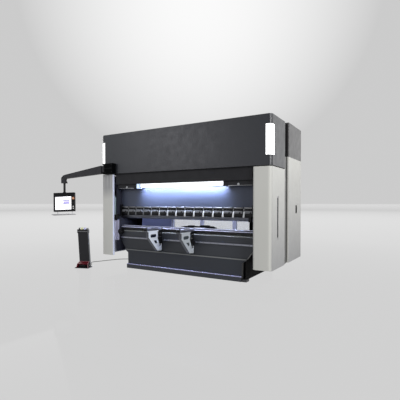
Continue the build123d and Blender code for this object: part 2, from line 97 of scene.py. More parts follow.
def ranged(nt, fac, lo, hi, a=0.3, b=0.7):
    r = nt.nodes.new("ShaderNodeMapRange")
    r.inputs["From Min"].default_value = a
    r.inputs["From Max"].default_value = b
    r.inputs["To Min"].default_value = lo
    r.inputs["To Max"].default_value = hi
    nt.links.new(fac, r.inputs["Value"])
    return r.outputs["Result"]


def bump(nt, bsdf, height, strength, dist):
    b = nt.nodes.new("ShaderNodeBump")
    b.inputs["Strength"].default_value = strength
    b.inputs["Distance"].default_value = dist
    nt.links.new(height, b.inputs["Height"])
    nt.links.new(b.outputs["Normal"], bsdf.inputs["Normal"])
    return b


def shade(c, k):
    return (c[0] * k, c[1] * k, c[2] * k, 1.0)


def paint(name, col, rough=(0.34, 0.42), grain=900.0, peel=0.25, spec=0.5, mottle=0.05):
    """Powder coat: fine orange peel, slow mottling of tone and gloss."""
    m = bpy.data.materials.new(name)
    nt, p = nodes_of(m)
    v = coords(nt)
    slow = noise(nt, v, 1.7, 3.0)
    nt.links.new(vary(nt, slow, shade(col, 1 - mottle), shade(col, 1 + mottle)), p.inputs["Base Color"])
    mid = noise(nt, v, 9.0, 4.0)
    nt.links.new(ranged(nt, mid, rough[0], rough[1]), p.inputs["Roughness"])
    fine = noise(nt, v, grain, 2.0)
    bump(nt, p, fine, peel, 0.0006)
    p.inputs["Specular IOR Level"].default_value = spec
    return m


def metal(name, col, rough=(0.22, 0.36), streak=(2, 260, 260), strength=0.12, mottle=0.10, metallic=1.0):
    """Ground or brushed metal: long streaks along one axis."""
    m = bpy.data.materials.new(name)
    nt, p = nodes_of(m)
    v = coords(nt, streak)
    s = noise(nt, v, 3.0, 5.0, 0.6)
    nt.links.new(vary(nt, s, shade(col, 1 - mottle), shade(col, 1 + mottle)), p.inputs["Base Color"])
    nt.links.new(ranged(nt, s, rough[0], rough[1]), p.inputs["Roughness"])
    bump(nt, p, s, strength, 0.0004)
    p.inputs["Metallic"].default_value = metallic
    return m


def split(nt, out):
    sp_ = nt.nodes.new("ShaderNodeSeparateXYZ")
    nt.links.new(out, sp_.inputs["Vector"])
    return sp_.outputs


def calc(nt, op, a, b):
    n = nt.nodes.new("ShaderNodeMath")
    n.operation = op
    for i, v in enumerate((a, b)):
        if isinstance(v, (int, float)):
            n.inputs[i].default_value = v
        else:
            nt.links.new(v, n.inputs[i])
    return n.outputs["Value"]


def height_band(nt, lo, hi, soft=0.0012):
    """1 between two heights on the piece, 0 outside."""
    tc = nt.nodes.new("ShaderNodeTexCoord")
    z = split(nt, tc.outputs["Object"])["Z"]
    return calc(nt, "MULTIPLY", ranged(nt, z, 0.0, 1.0, lo - soft, lo), ranged(nt, z, 1.0, 0.0, hi, hi + soft))


def facing(nt, axis, lo, hi, use_abs=False):
    """0 to 1 as one component of the surface direction goes from lo to hi."""
    tc = nt.nodes.new("ShaderNodeTexCoord")
    c = split(nt, tc.outputs["Normal"])[axis]
    if use_abs:
        c = calc(nt, "ABSOLUTE", c, 0.0)
    return ranged(nt, c, 0.0, 1.0, lo, hi)


def inward(nt):
    """1 on faces that look toward the machine's middle plane."""
    tc = nt.nodes.new("ShaderNodeTexCoord")
    a = split(nt, tc.outputs["Object"])["X"]
    b = split(nt, tc.outputs["Normal"])["X"]
    return ranged(nt, calc(nt, "MULTIPLY", a, b), 1.0, 0.0, -1.0, -0.9)


def tint(m, mask, col):
    """Lays col over the paint where mask is 1; mask is a function of the node tree."""
    nt, p = nodes_of(m)
    old = p.inputs["Base Color"].links[0].from_socket
    mx = nt.nodes.new("ShaderNodeMix")
    mx.data_type = "RGBA"
    nt.links.new(old, mx.inputs["A"])
    mx.inputs["B"].default_value = col
    nt.links.new(mask(nt), mx.inputs["Factor"])
    nt.links.new(mx.outputs["Result"], p.inputs["Base Color"])
    return m


def plastic(name, col, rough=(0.28, 0.36), grain=1400.0, peel=0.15, mottle=0.03, spec=0.5):
    return paint(name, col, rough, grain, peel, spec, mottle)


def glow(name, col, strength, edge=0.93):
    """Lit diffuser: emission with a slight unevenness along it."""
    m = bpy.data.materials.new(name)
    nt, p = nodes_of(m)
    v = coords(nt)
    s = noise(nt, v, 14.0, 2.0)
    c = vary(nt, s, shade(col, edge), col)
    nt.links.new(c, p.inputs["Base Color"])
    nt.links.new(c, p.inputs["Emission Color"])
    p.inputs["Emission Strength"].default_value = strength
    p.inputs["Roughness"].default_value = 0.4
    return m


def clear(name, col, alpha, rough=0.05):
    m = bpy.data.materials.new(name)
    nt, p = nodes_of(m)
    v = coords(nt)
    s = noise(nt, v, 2.2, 3.0)
    nt.links.new(vary(nt, s, shade(col, 0.97), col), p.inputs["Base Color"])
    nt.links.new(ranged(nt, s, rough, rough + 0.05), p.inputs["Roughness"])
    p.inputs["Alpha"].default_value = alpha
    return m


def head_shade_mask(nt):
    """Painted shade on the head's front: 0 at the head's left end, 1 in the middle, less again to the right."""
    x = split(nt, coords(nt))["X"]
    return calc(nt, "MULTIPLY", ranged(nt, x, 0.0, 1.0, -1.6, -0.3), ranged(nt, x, 1.0, 0.45, 0.5, 1.7))


# Head paint, darker from the left end toward the middle: painted shade.
HEAD = tint(paint("head_paint", rgb(38, 41, 46), (0.36, 0.44), 900, 0.22), head_shade_mask, rgb(29, 29, 34))
RECESS = paint("recess_paint", rgb(25, 25, 28), (0.48, 0.58), 900, 0.22, 0.25)
def low_side_shade(nt):
    """Painted shade: grows toward the foot of the sheets that face sideways."""
    z = split(nt, coords(nt))["Z"]
    return calc(nt, "MULTIPLY", facing(nt, "X", 0.6, 0.95, True), ranged(nt, z, 1.0, 0.0, 0.2, 2.4))


def top_front_shadow(nt):
    """Painted shadow with diagonal streaks at the upper end of the left cover's front."""
    v = coords(nt)
    z = split(nt, v)["Z"]
    mp = nt.nodes.new("ShaderNodeMapping")
    mp.inputs["Rotation"].default_value = (0.0, math.radians(-38), 0.0)
    mp.inputs["Scale"].default_value = (16.0, 16.0, 1.2)
    nt.links.new(v, mp.inputs["Vector"])
    streak = ranged(nt, noise(nt, mp.outputs["Vector"], 1.0, 2.0), 0.45, 1.0)
    return calc(nt, "MULTIPLY", calc(nt, "MULTIPLY", facing(nt, "Y", -0.8, -0.95), ranged(nt, z, 0.0, 1.0, 1.42, 1.66)), streak)


# Cover paint, with its sideways faces painted darker toward the floor: painted shade.
COVER = tint(paint("cover_paint", rgb(183, 183, 178), (0.38, 0.48), 700, 0.30, 0.22, 0.03), low_side_shade, rgb(134, 134, 135))
# Filler paint with its front faces painted near black: painted shade.
FILLER = tint(paint("filler_paint", rgb(84, 84, 82), (0.38, 0.48), 700, 0.30, 0.22, 0.03), lambda nt: facing(nt, "Y", -0.5, -0.9), rgb(10, 10, 12))
REAR = paint("rear_paint", rgb(48, 47, 48), (0.36, 0.44), 800, 0.25)
FRAME = paint("frame_paint", rgb(44, 47, 53), (0.36, 0.46), 800, 0.25, 0.4)
RAM = paint("ram_paint", rgb(62, 68, 84), (0.36, 0.46), 800, 0.20, 0.35)
BLACK = paint("black_paint", rgb(13, 14, 16), (0.50, 0.60), 900, 0.20, 0.18)
FEET = metal("feet_metal", rgb(60, 60, 62), (0.4, 0.55), (60, 60, 60), 0.3, 0.15, 0.6)
CLAMP = metal("clamp_metal", rgb(27, 27, 28), (0.30, 0.46), (4, 120, 120), 0.15, 0.16, 0.7)
CLAMP_LIT = metal("clamp_top_metal", rgb(138, 138, 140), (0.26, 0.40), (4, 160, 160), 0.12, 0.10, 0.85)
CLAMP_MID = paint("clamp_lever_paint", rgb(104, 106, 110), (0.34, 0.46), 300, 0.5, 0.5, 0.25)
# Wedges painted much lighter from the left toward the middle: painted sheen.
WEDGE = tint(paint("wedge_painted_sheen", rgb(92, 94, 96), (0.30, 0.40), 600, 0.2, 0.4, 0.08),
             lambda nt: ranged(nt, split(nt, coords(nt))["X"], 0.0, 1.0, -0.85, -0.15), rgb(214, 216, 218))
STEEL = metal("ground_steel", rgb(150, 152, 158), (0.22, 0.36))
STEEL_DARK = metal("dark_ground_steel", rgb(96, 98, 104), (0.26, 0.40))
RAIL = metal("rail_steel", rgb(138, 140, 150), (0.18, 0.30))
CHROME = metal("rod_chrome", rgb(205, 208, 214), (0.06, 0.12), (90, 90, 2), 0.02, 0.03)
SCREW = metal("screw_black_oxide", rgb(44, 44, 46), (0.30, 0.45), (80, 80, 80), 0.15, 0.12, 0.8)
SCREW_ZN = metal("screw_zinc", rgb(168, 170, 172), (0.24, 0.38), (80, 80, 80), 0.12, 0.10)
# The two support paints are a lit and a shaded copy of one paint: painted light. Their front faces and downward faces
# are painted darker: painted shade.
GUSSET_L = paint("support_paint_left", rgb(214, 221, 232), (0.30, 0.40), 800, 0.20)
GUSSET_R = paint("support_paint_right", rgb(172, 178, 184), (0.30, 0.40), 800, 0.20)
for m_ in (GUSSET_L, GUSSET_R):
    tint(m_, lambda nt: facing(nt, "Y", -0.85, -0.96), rgb(66, 68, 76))
for m_ in (GUSSET_L, GUSSET_R):
    tint(m_, lambda nt: facing(nt, "Z", -0.25, -0.55), rgb(74, 78, 88))
# Dark plates set inside the supports' pockets stand in for the shade there, the right one less dark: painted shade.
POCKET_L = paint("support_pocket_left", rgb(26, 32, 46), (0.5, 0.6), 700, 0.15, 0.2)
POCKET_R = paint("support_pocket_right", rgb(58, 64, 68), (0.5, 0.6), 700, 0.15, 0.2)
ALLOY = metal("support_alloy", rgb(188, 190, 198), (0.24, 0.36), (260, 2, 260))
# Near black laid on faces that stand in shade: painted shade.
SHADE_BLACK = rgb(9, 10, 12)
# Apron: a light band at the ledge is a painted highlight; faces toward the sides are painted near black, a painted
# shade.
FRAME_APRON = tint(tint(paint("apron_paint", rgb(46, 49, 55), (0.40, 0.50), 800, 0.25, 0.25),
                        lambda nt: height_band(nt, 0.367, 0.3856), rgb(108, 110, 110)),
                   lambda nt: facing(nt, "X", 0.5, 0.6, True), SHADE_BLACK)
# Bed: a light band on the top chamfer is a painted highlight; faces toward the sides are painted near black, a painted
# shade.
FRAME_BED = tint(tint(paint("bed_paint", rgb(44, 47, 53), (0.36, 0.46), 800, 0.25, 0.4),
                      lambda nt: height_band(nt, 0.753, 0.7765), rgb(104, 106, 104)),
                 lambda nt: facing(nt, "X", 0.5, 0.6, True), SHADE_BLACK)
# Toe strip: a pale blue band along its top edge is a painted highlight; faces toward the sides are painted near black,
# a painted shade.
FRAME_TOE = tint(tint(paint("toe_paint", rgb(44, 47, 53), (0.36, 0.46), 800, 0.25, 0.4),
                      lambda nt: height_band(nt, 0.081, 0.0885), rgb(176, 176, 214)),
                 lambda nt: facing(nt, "X", 0.5, 0.6, True), SHADE_BLACK)
# Side frames painted near black, with the faces toward the middle painted blue grey: painted shade and painted lamp
# light.
FRAME_SIDE = tint(paint("side_frame_paint", rgb(4, 5, 6), (0.65, 0.75), 800, 0.25, 0.06), inward, rgb(98, 103, 134))
# Inner guard plates: faces toward the middle painted lighter and bluer, painted lamp light.
GUARD = tint(paint("inner_guard_paint", rgb(30, 30, 38), (0.42, 0.52), 800, 0.25, 0.3), inward, rgb(40, 42, 54))
POST = paint("guard_post_paint", rgb(206, 206, 222), (0.40, 0.50), 800, 0.2, 0.3)
BRACKET = paint("bracket_paint", rgb(3, 4, 5), (0.65, 0.75), 900, 0.2, 0.04)
GAP = paint("gap_paint", rgb(7, 7, 8), (0.60, 0.70), 900, 0.2, 0.06)
# Table: near black face standing in for the shadow gap, with a painted highlight band along its top edge.
TABLE = tint(paint("table_paint", rgb(14, 15, 18), (0.40, 0.50), 700, 0.2, 0.3), lambda nt: height_band(nt, 0.8372, 0.847), rgb(186, 186, 206))
# Die rail: a painted highlight band along its top edge.
DIE_BAND = tint(metal("die_rail_steel", rgb(66, 68, 76), (0.30, 0.44), metallic=0.4), lambda nt: height_band(nt, 0.8664, 0.875), rgb(186, 188, 204))
# Left cover: a lighter copy of cover_paint (painted light), with painted shade toward the foot of the side faces, a
# painted streaky shadow at the top of the front and painted pale blue lamp light on the faces toward the middle.
COVER_L = tint(tint(tint(paint("cover_paint_left", rgb(196, 196, 191), (0.38, 0.48), 700, 0.30, 0.22, 0.03), low_side_shade, rgb(134, 134, 135)),
                    top_front_shadow, rgb(146, 146, 148)), inward, rgb(206, 213, 236))
GUIDE = paint("guide_strip_paint", rgb(132, 150, 158), (0.3, 0.4), 800, 0.15)
CONDUIT = paint("conduit_paint", rgb(160, 160, 184), (0.3, 0.4), 800, 0.15)
ARM = paint("arm_paint", rgb(33, 32, 36), (0.46, 0.56), 800, 0.25, 0.3)
CASE = paint("panel_case_paint", rgb(17, 17, 20), (0.44, 0.54), 1000, 0.22, 0.25)
TRAY = tint(paint("tray_paint", rgb(74, 74, 78), (0.40, 0.50), 900, 0.2, 0.3), lambda nt: height_band(nt, 1.0985, 1.160), rgb(206, 206, 208))
# Station paint with its side faces painted lighter: painted light.
STATION = tint(paint("station_paint", rgb(26, 26, 29), (0.44, 0.54), 900, 0.22, 0.30), lambda nt: facing(nt, "X", 0.80, 0.92, True), rgb(104, 106, 110))
def outer_cheek(nt):
    """1 on the hood's two outer side faces, 0 on the inner ones."""
    u = (math.cos(math.radians(20)), math.sin(math.radians(20)), 0.0)
    tc = nt.nodes.new("ShaderNodeTexCoord")
    dots = []
    for out in ("Normal", "Object"):
        dp = nt.nodes.new("ShaderNodeVectorMath")
        dp.operation = "DOT_PRODUCT"
        dp.inputs[1].default_value = u
        nt.links.new(tc.outputs[out], dp.inputs[0])
        dots.append(dp.outputs["Value"])
    mid = -2.026 * u[0] - 0.641 * u[1]
    right = calc(nt, "MULTIPLY", ranged(nt, dots[0], 0.0, 1.0, 0.75, 0.85), ranged(nt, dots[1], 0.0, 1.0, mid, mid + 0.01))
    left = calc(nt, "MULTIPLY", ranged(nt, dots[0], 1.0, 0.0, -0.85, -0.75), ranged(nt, dots[1], 1.0, 0.0, mid - 0.01, mid))
    return calc(nt, "ADD", right, left)


# Hood with its outer cheeks painted near black: painted shade.
HOOD = tint(paint("hood_paint", rgb(86, 13, 25), (0.42, 0.52), 900, 0.18, 0.2), outer_cheek, rgb(16, 11, 13))
# Pale pink for the beads along the hood's edges: painted highlight.
HOOD_EDGE_HIGHLIGHT = plastic("hood_edge_highlight", rgb(196, 158, 164), (0.3, 0.4))
RUBBER = plastic("black_rubber", rgb(26, 26, 27), (0.62, 0.78), 1200, 0.4, 0.08, 0.3)
CABLE = plastic("cable_jacket", rgb(70, 71, 72), (0.5, 0.6), 1500, 0.2, 0.05, 0.35)
WINDOW = clear("guard_window", rgb(226, 234, 240), 0.22)
BAR = glow("light_bar_diffuser", (1.0, 1.0, 1.0, 1.0), 1.3, 0.97)
LAMP = glow("lamp_diffuser", (0.93, 0.96, 1.0, 1.0), 2.2, 0.97)
SEAL = plastic("pale_seal", rgb(214, 218, 224), (0.5, 0.6))
LAMP_END = glow("lamp_end_diffuser", rgb(196, 218, 250), 0.9, 0.95)
SCREEN = glow("screen_glow", (0.94, 0.94, 0.96, 1.0), 1.0, 0.98)
SCREEN_BAR = glow("screen_bar", rgb(92, 84, 168), 0.4, 0.97)
SCREEN_MARK = glow("screen_mark", rgb(150, 150, 160), 0.45, 0.95)
SCREEN_HEAD = glow("screen_header", rgb(150, 148, 156), 0.5, 0.97)
SCREEN_FIELD = glow("screen_field", rgb(172, 164, 238), 0.72, 0.97)
RED = plastic("button_tan", rgb(226, 172, 134), (0.24, 0.32))
YELLOW = plastic("button_yellow", rgb(222, 218, 160), (0.3, 0.38))
RING = plastic("button_ring_orange", rgb(158, 92, 50), (0.3, 0.38))
WHITE = plastic("button_white", rgb(226, 226, 224), (0.3, 0.38))
VIOLET = plastic("button_pale_violet", rgb(196, 196, 232), (0.3, 0.38))
LIME = plastic("button_pale_green", rgb(214, 220, 166), (0.3, 0.38))
GREY = plastic("button_grey", rgb(140, 140, 142), (0.34, 0.42))
DARK_BTN = plastic("button_dark", rgb(38, 38, 40), (0.34, 0.42))
LENS = plastic("lens_dark_glass", rgb(30, 46, 44), (0.05, 0.10), 1500, 0.02, 0.02, 0.8)
SEAM = paint("seam_shadow", rgb(14, 14, 15), (0.7, 0.8), 600, 0.1, 0.1)


# ---------------------------------------------------------------------------
# Mesh helpers, in the drawing's millimetres (Y from the head's front face)
# ---------------------------------------------------------------------------
def unit(v):
    return Vector((v[0] / 1000.0, (v[1] - 250.0) / 1000.0, v[2] / 1000.0))


class Build:
    def __init__(self, matrix=None):
        self.v, self.f, self.m = [], [], matrix or Matrix.Identity(4)

    def take(self, bm, extra=None):
        mtx = self.m @ extra if extra else self.m
        base = len(self.v)
        bm.verts.index_update()
        self.v += [mtx @ v.co for v in bm.verts]
        self.f += [[base + v.index for v in f.verts] for f in bm.faces]
        bm.free()

    def box(self, x0, x1, y0, y1, z0, z1, bev=1.0, seg=2, extra=None):
        bm = bmesh.new()
        bmesh.ops.create_cube(bm, size=1.0)
        for v in bm.verts:
            v.co = Vector(((x0 + x1) / 2 + v.co.x * (x1 - x0), (y0 + y1) / 2 + v.co.y * (y1 - y0), (z0 + z1) / 2 + v.co.z * (z1 - z0)))
        if bev > 0:
            bmesh.ops.bevel(bm, geom=bm.edges[:], offset=bev, segments=seg, profile=0.5, affect="EDGES")
        self.take(bm, extra)
        return self

    def prism(self, pts, axis, a, b, bev=0.0, seg=2, extra=None):
        """pts are (y, z) for axis x, (x, z) for y, (x, y) for z."""
        bm = bmesh.new()
        order = {"x": lambda p, t: (t, p[0], p[1]), "y": lambda p, t: (p[0], t, p[1]), "z": lambda p, t: (p[0], p[1], t)}[axis]
        lo = [bm.verts.new(order(p, a)) for p in pts]
        hi = [bm.verts.new(order(p, b)) for p in pts]
        n = len(pts)
        bm.faces.new(lo)
        bm.faces.new(hi[::-1])
        for i in range(n):
            bm.faces.new((lo[i], hi[i], hi[(i + 1) % n], lo[(i + 1) % n]))
        bmesh.ops.recalc_face_normals(bm, faces=bm.faces[:])
        if bev > 0:
            bmesh.ops.bevel(bm, geom=bm.edges[:], offset=bev, segments=seg, profile=0.5, affect="EDGES")
        self.take(bm, extra)
        return self

    def lathe(self, c, axis, prof, seg=24, extra=None):
        """Turned part: prof is a list of (radius, height[, 'hex']) from c along axis."""
        z = Vector(axis).normalized()
        x = Vector((0, 0, 1)) if abs(z.z) < 0.9 else Vector((1, 0, 0))
        x = (x - z * x.dot(z)).normalized()
        y = z.cross(x)
        c = Vector(c)
        bm = bmesh.new()
        rings = []
        for pt in prof:
            ring = []
            for i in range(seg):
                t = 2 * math.pi * i / seg
                r = pt[0]
                if len(pt) > 2:
                    r = pt[0] / math.cos((t % (math.pi / 3)) - math.pi / 6)
                ring.append(bm.verts.new(c + z * pt[1] + x * (r * math.cos(t)) + y * (r * math.sin(t))))
            rings.append(ring)
        for a, b in zip(rings, rings[1:]):
            for i in range(seg):
                bm.faces.new((a[i], a[(i + 1) % seg], b[(i + 1) % seg], b[i]))
        bm.faces.new(rings[0][::-1])
        bm.faces.new(rings[-1])
        self.take(bm, extra)
        return self

    def rod(self, c, axis, r, h, bev=0.6, seg=24, extra=None):
        return self.lathe(c, axis, [(r - bev, 0), (r, bev), (r, h - bev), (r - bev, h)], seg, extra)

    def screw(self, c, axis, r=6.0, h=5.0, seg=24, extra=None):
        return self.lathe(c, axis, [(r, 0), (r, h * 0.82), (r * 0.9, h), (r * 0.52, h, "hex"), (r * 0.48, h * 0.4, "hex")], seg, extra)

    def nut(self, c, axis, r=10.0, h=8.0, extra=None):
        return self.lathe(c, axis, [(r * 0.86, 0, "hex"), (r * 0.86, h * 0.8, "hex"), (r * 0.82, h), (r * 0.5, h), (r * 0.5, h * 0.5)], 24, extra)

    def tube(self, pts, r, seg=12, extra=None):
        """Round bar that follows pts."""
        pts = [Vector(p) for p in pts]
        bm = bmesh.new()
        rings = []
        up = None
        for i, p in enumerate(pts):
            d = (pts[min(i + 1, len(pts) - 1)] - pts[max(i - 1, 0)]).normalized()
            if up is None:
                up = Vector((0, 0, 1)) if abs(d.z) < 0.9 else Vector((1, 0, 0))
            x = (up - d * up.dot(d)).normalized()
            up = x
            y = d.cross(x)
            rings.append([bm.verts.new(p + x * (r * math.cos(2 * math.pi * k / seg)) + y * (r * math.sin(2 * math.pi * k / seg))) for k in range(seg)])
        for a, b in zip(rings, rings[1:]):
            for k in range(seg):
                bm.faces.new((a[k], a[(k + 1) % seg], b[(k + 1) % seg], b[k]))
        bm.faces.new(rings[0][::-1])
        bm.faces.new(rings[-1])
        self.take(bm, extra)
        return self

    def make(self, name, mat, body="machine", slot=None, swap=None, sharp=32):
        me = bpy.data.meshes.new(name)
        me.from_pydata([unit(v) for v in self.v], [], self.f)
        me.validate()
        bm = bmesh.new()
        bm.from_mesh(me)
        bmesh.ops.recalc_face_normals(bm, faces=bm.faces[:])
        bm.to_mesh(me)
        bm.free()
        for p in me.polygons:
            p.use_smooth = True
        me.set_sharp_from_angle(angle=math.radians(sharp))
        me.materials.append(mat)
        ob = bpy.data.objects.new(name, me)
        scene.collection.objects.link(ob)
        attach(ob, body)
        if swap:
            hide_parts(*([swap] if isinstance(swap, str) else swap))
        return ob


def dress(mat, *names):
    for n in names:
        ob = NODES[n]
        if not ob.material_slots:
            ob.data.materials.append(mat)
        for s in ob.material_slots:
            s.material = mat


# ---------------------------------------------------------------------------
# Pedal cable: one smooth line over the floor
# ---------------------------------------------------------------------------
ROUTE = [(-2.0662, -0.4428, 0.0065), (-2.0932, -0.3569, 0.0065), (-2.2000, -0.2300, 0.0065), (-2.3180, -0.1320, 0.0065),
         (-2.3980, -0.0640, 0.0065), (-2.4040, 0.0220, 0.0065), (-2.3520, 0.1060, 0.0065), (-2.3180, 0.2120, 0.0065),
         (-2.2760, 0.3160, 0.0065), (-2.2320, 0.4180, 0.0065), (-2.1960, 0.5240, 0.0065), (-2.1200, 0.6160, 0.0065),
         (-2.0260, 0.6880, 0.0065), (-1.9160, 0.7460, 0.0065), (-1.8120, 0.8180, 0.0065), (-1.7120, 0.8980, 0.0065),
         (-1.6040, 0.9640, 0.0065), (-1.4980, 1.0340, 0.0065), (-1.4200, 1.0880, 0.0065), (-1.3400, 1.0880, 0.0065)]
cu = bpy.data.curves.new("pedal_lead", "CURVE")
cu.dimensions = "3D"
sp = cu.splines.new("NURBS")
sp.points.add(len(ROUTE) - 1)
for pt, co in zip(sp.points, ROUTE):
    pt.co = (*co, 1.0)
sp.order_u = 3
sp.use_endpoint_u = True
sp.resolution_u = 8
cu.bevel_depth = 0.006
cu.bevel_resolution = 4
cu.materials.append(CABLE)
lead = bpy.data.objects.new("pedal_lead", cu)
scene.collection.objects.link(lead)
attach(lead, "machine")
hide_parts("pedal_cable")

# ---------------------------------------------------------------------------
# Materials for the carried-over pieces
# ---------------------------------------------------------------------------
dress(HEAD, "head_housing")
dress(RECESS, "lower_fascia")
dress(COVER, "side_door_right", "rear_cabinets")
dress(FILLER, "side_fillers")
dress(COVER_L, "side_door_left")
dress(REAR, "rear_upper_housing")
dress(FRAME, "cylinder_beam")
dress(FRAME_SIDE, "side_frames")
dress(FRAME_BED, "bed_plate")
dress(FRAME_APRON, "lower_apron")
dress(FRAME_TOE, "toe_strip")
dress(GUARD, "inner_guard_plates")
dress(RAM, "ram_plate")
dress(BRACKET, "arm_bracket")
dress(GAP, "rear_gap_cover")
dress(BLACK, "gauge_beam", "crowning_motor", "laser_guards", "support_carriage_left", "support_carriage_right", "gauge_fingers")
dress(FEET, "levelling_feet")
dress(POST, "rear_guard_frame")
dress(FRAME, "rear_base_beam")
dress(CLAMP, "tool_clamps")
dress(STEEL_DARK, "punch_rail", "gauge_rails", "table_top")
dress(STEEL, "die_rail", "door_hinges")
dress(RAIL, "front_slide_rail")
dress(CHROME, "ram_rods")
dress(GUSSET_L, "support_gusset_left")
dress(GUSSET_R, "support_gusset_right")
dress(ALLOY, "support_arm_left", "support_arm_right")
dress(BAR, "corner_light_bars")
dress(LAMP, "work_light")
dress(WINDOW, "rear_guard_windows")
dress(ARM, "control_arm")
dress(TRAY, "panel_tray")
dress(CASE, "panel_housing", "panel_pole")
dress(SCREEN, "panel_screen")
dress(GREY, "panel_buttons", "station_buttons")
dress(STATION, "pedal_base", "pedal_post", "pedal_station_cap")
dress(HOOD, "pedal_hood")
dress(RUBBER, "foot_pedal", "cable_glands", "pedal_cable")

# ---------------------------------------------------------------------------
# Tool clamps: fifteen detailed units in place of the plain row
# ---------------------------------------------------------------------------
body, tops, jaws, levers, wedges, caps = Build(), Build(), Build(), Build(), Build(), Build()
for i in range(15):
    xc = (i - 7) * 200.0
    a, b = xc - 95, xc + 95
    body.box(a, b, 214, 232, 1100, 1238, 1.5)
    tops.prism([(232, 1248), (232, 1271), (204, 1271), (197, 1265), (197, 1252), (201, 1248)], "x", a + 9, b - 9, 1.2)
    # clamping shoe: dark block with a sloped top, held by a lighter lever
    jaws.prism([(218, 1098), (200, 1108), (197, 1122), (197, 1160), (204, 1178), (218, 1182)], "x", a + 14, b - 14, 1.5)
    jaws.box(a + 10, b - 10, 205, 216, 1212, 1240, 1.0)
    levers.prism([(xc - 80, 1158), (xc - 80, 1206), (xc - 52, 1209), (xc + 20, 1207), (xc + 78, 1204), (xc + 80, 1168), (xc + 62, 1150), (xc + 46, 1166),
                  (xc + 30, 1182), (xc + 12, 1172), (xc - 14, 1148), (xc - 30, 1164), (xc - 52, 1166), (xc - 66, 1152)], "y", 198.5, 205, 1.0)
    levers.rod((xc - 52, 204, 1188), (0, -1, 0), 12, 7, 1.5)
    for dx in (-62, 66):
        caps.screw((xc + dx, 197.5, 1126), (0, -1, 0), 8.5, 0.5)
        caps.screw((xc + dx, 198, 1260), (0, -1, 0), 5.0, 1.0)
    for dx in (-30, 34):
        caps.screw((xc + dx, 206, 1226), (0, -1, 0), 8.0, 8.5)
    caps.lathe((xc + 30, 199.5, 1174), (0, -1, 0), [(15, 0), (15, 2), (12, 2.5)], 24)
    if i < 14:
        wedges.prism([(b - 13, 1092), (b + 17, 1092), (b + 30, 1198), (b + 2, 1198)], "y", 197.2, 214, 1.5)
        tops.box(b - 1, b + 11, 212, 222, 1202, 1246, 1.0)
body.box(-1494, 1494, 226, 231.9, 1240, 1270, 0.8)
body.make("clamp_backs", BLACK, "ram", "clamp_steel", "tool_clamps")
tops.make("clamp_top_plates", CLAMP_LIT, "ram", "clamp_steel")
jaws.make("clamp_jaws", CLAMP, "ram", "clamp_steel")
levers.make("clamp_levers", CLAMP_MID, "ram", "clamp_steel")
wedges.make("clamp_wedges", WEDGE, "ram", "tool_steel")
caps.make("clamp_screws", SCREW, "ram", "clamp_steel")
# lower jaw bar that holds the punches
low = Build()
for i in range(5):
    x0, x1 = -1495 + i * 598, -1495 + (i + 1) * 598 - 1
    low.prism([(232, 1062), (232, 1096), (206, 1096), (200, 1090), (203, 1066), (208, 1062)], "x", x0, x1, 1.0)
low.make("clamp_lower_bar", STEEL_DARK, "ram", "clamp_steel")
pun = Build()
for i in range(6):
    x0 = -1492 + i * (2984 / 6.0)
    pun.prism([(222, 1061.5), (278, 1061.5), (278, 1048), (254, 1026), (246, 1026), (222, 1048)], "x", x0, x0 + 2984 / 6.0 - 0.8, 0.8)
pun.make("punch_segments", STEEL_DARK, "ram", "tool_steel", "punch_rail")

# ---------------------------------------------------------------------------
# Bed, table and front rail details
# ---------------------------------------------------------------------------
d = Build()
for i in range(15):
    xc = (i - 7) * 200.0
    d.screw((xc - 50, 203, 825), (0, -1, 0), 7.0, 5.0)
    d.screw((xc + 50, 203, 825), (0, -1, 0), 7.0, 5.0)
for i in range(20):
    d.screw((-1425 + i * 150, 165, 626), (0, -1, 0), 6.0, 3.0)
for sx in (-1, 1):
    d.screw((sx * 1220, 195, 700), (0, -1, 0), 5.0, 3.0)
d.make("bed_screws", SCREW, "machine", "blue_grey_frame")
d = Build()
d.prism([(203, 804), (203, 837.5), (211.5, 846), (330, 846), (330, 804), (268, 804), (268, 776), (218, 776), (218, 804)], "x", -1500, 1500, 0)
d.make("table_top_machined", TABLE, "machine", "tool_steel", "table_top")
d = Build()
for i in range(6):
    x0 = -1495 + i * (2990 / 6.0)
    d.prism([(226, 846), (226, 866.5), (233.5, 874), (254, 874), (254, 860), (266, 860), (266, 874), (300, 874), (300, 846)], "x", x0, x0 + 2990 / 6.0 - 0.8, 0)
d.make("die_segments", DIE_BAND, "machine", "tool_steel", "die_rail")
d = Build()
for i in range(15):
    xc = (i - 7) * 200.0
    d.box(xc - 34, xc + 34, 204.5, 218, 788, 803.5, 1.5)
    d.screw((xc, 204.5, 796), (0, -1, 0), 5.0, 3.5)
d.make("table_wedge_blocks", SCREW, "machine", "tool_steel")
d = Build()
for sx in (-1, 1):
    x0, x1 = sorted((sx * 1500, sx * 1489))
    d.box(x0, x1, 160, 196, 606, 646, 2)
d.make("rail_end_stops", BLACK, "machine", "gauge_paint")
# crowning drive: cap, flange and cable outlet
d = Build()
d.lathe((-1456, 120, 752), (0, -1, 0), [(51, 0), (51, 9), (46, 14), (30, 17), (12, 18), (12, 22), (8, 23)], 36)
d.lathe((-1456, 194.5, 741), (0, -1, 0), [(46, 0), (46, 9), (43, 12), (40, 12)], 36)
d.tube([(-1440, 116, 800), (-1428, 130, 812), (-1412, 150, 818), (-1404, 178, 818), (-1404, 202, 818)], 9)
for k in range(4):
    t = math.radians(45 + 90 * k)
    d.screw((-1456 + 43 * math.cos(t), 184, 741 + 43 * math.sin(t)), (0, -1, 0), 3.0, 3.0)
d.make("crowning_drive_caps", BLACK, "machine", "gauge_paint")

